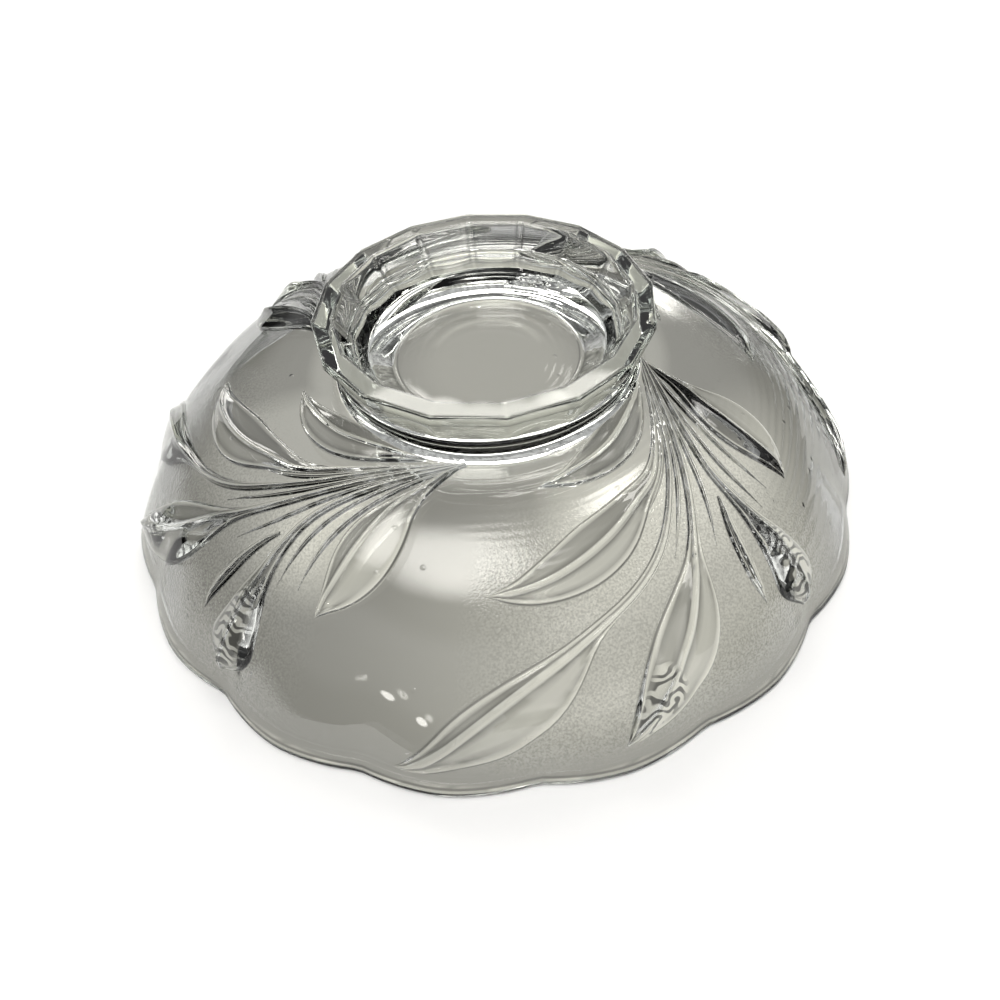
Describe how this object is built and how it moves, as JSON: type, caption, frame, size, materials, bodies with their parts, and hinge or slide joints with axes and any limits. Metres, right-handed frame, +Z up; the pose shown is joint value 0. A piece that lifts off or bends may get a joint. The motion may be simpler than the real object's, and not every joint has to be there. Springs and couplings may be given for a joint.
{
  "type": "floating candle bowl",
  "caption": "Low footed bowl of clear pressed glass with a scalloped rim and raised leaf sprays, turned over so that its hollow panelled foot points up.",
  "frame": {"origin": "on the plane that the rim stands on, below the centre of the foot", "axes": "+Z up along the axis of the bowl and out of the foot; the bowl is turned over as pictured, with the camera on the -Y side. In use it stands on its foot, with its own up along -Z"},
  "size_m": [0.259, 0.259, 0.0684],
  "materials": {
    "glass": "clear pressed glass, polished, with finely stippled ground between the leaves"
  },
  "bodies": {
    "root": {"bowl": "glass", "collar": "glass", "foot": "glass", "foot_flange": "glass", "leaf_spray_1": "glass", "leaf_spray_2": "glass", "leaf_spray_3": "glass", "leaf_spray_4": "glass"}
  },
  "joints": []
}
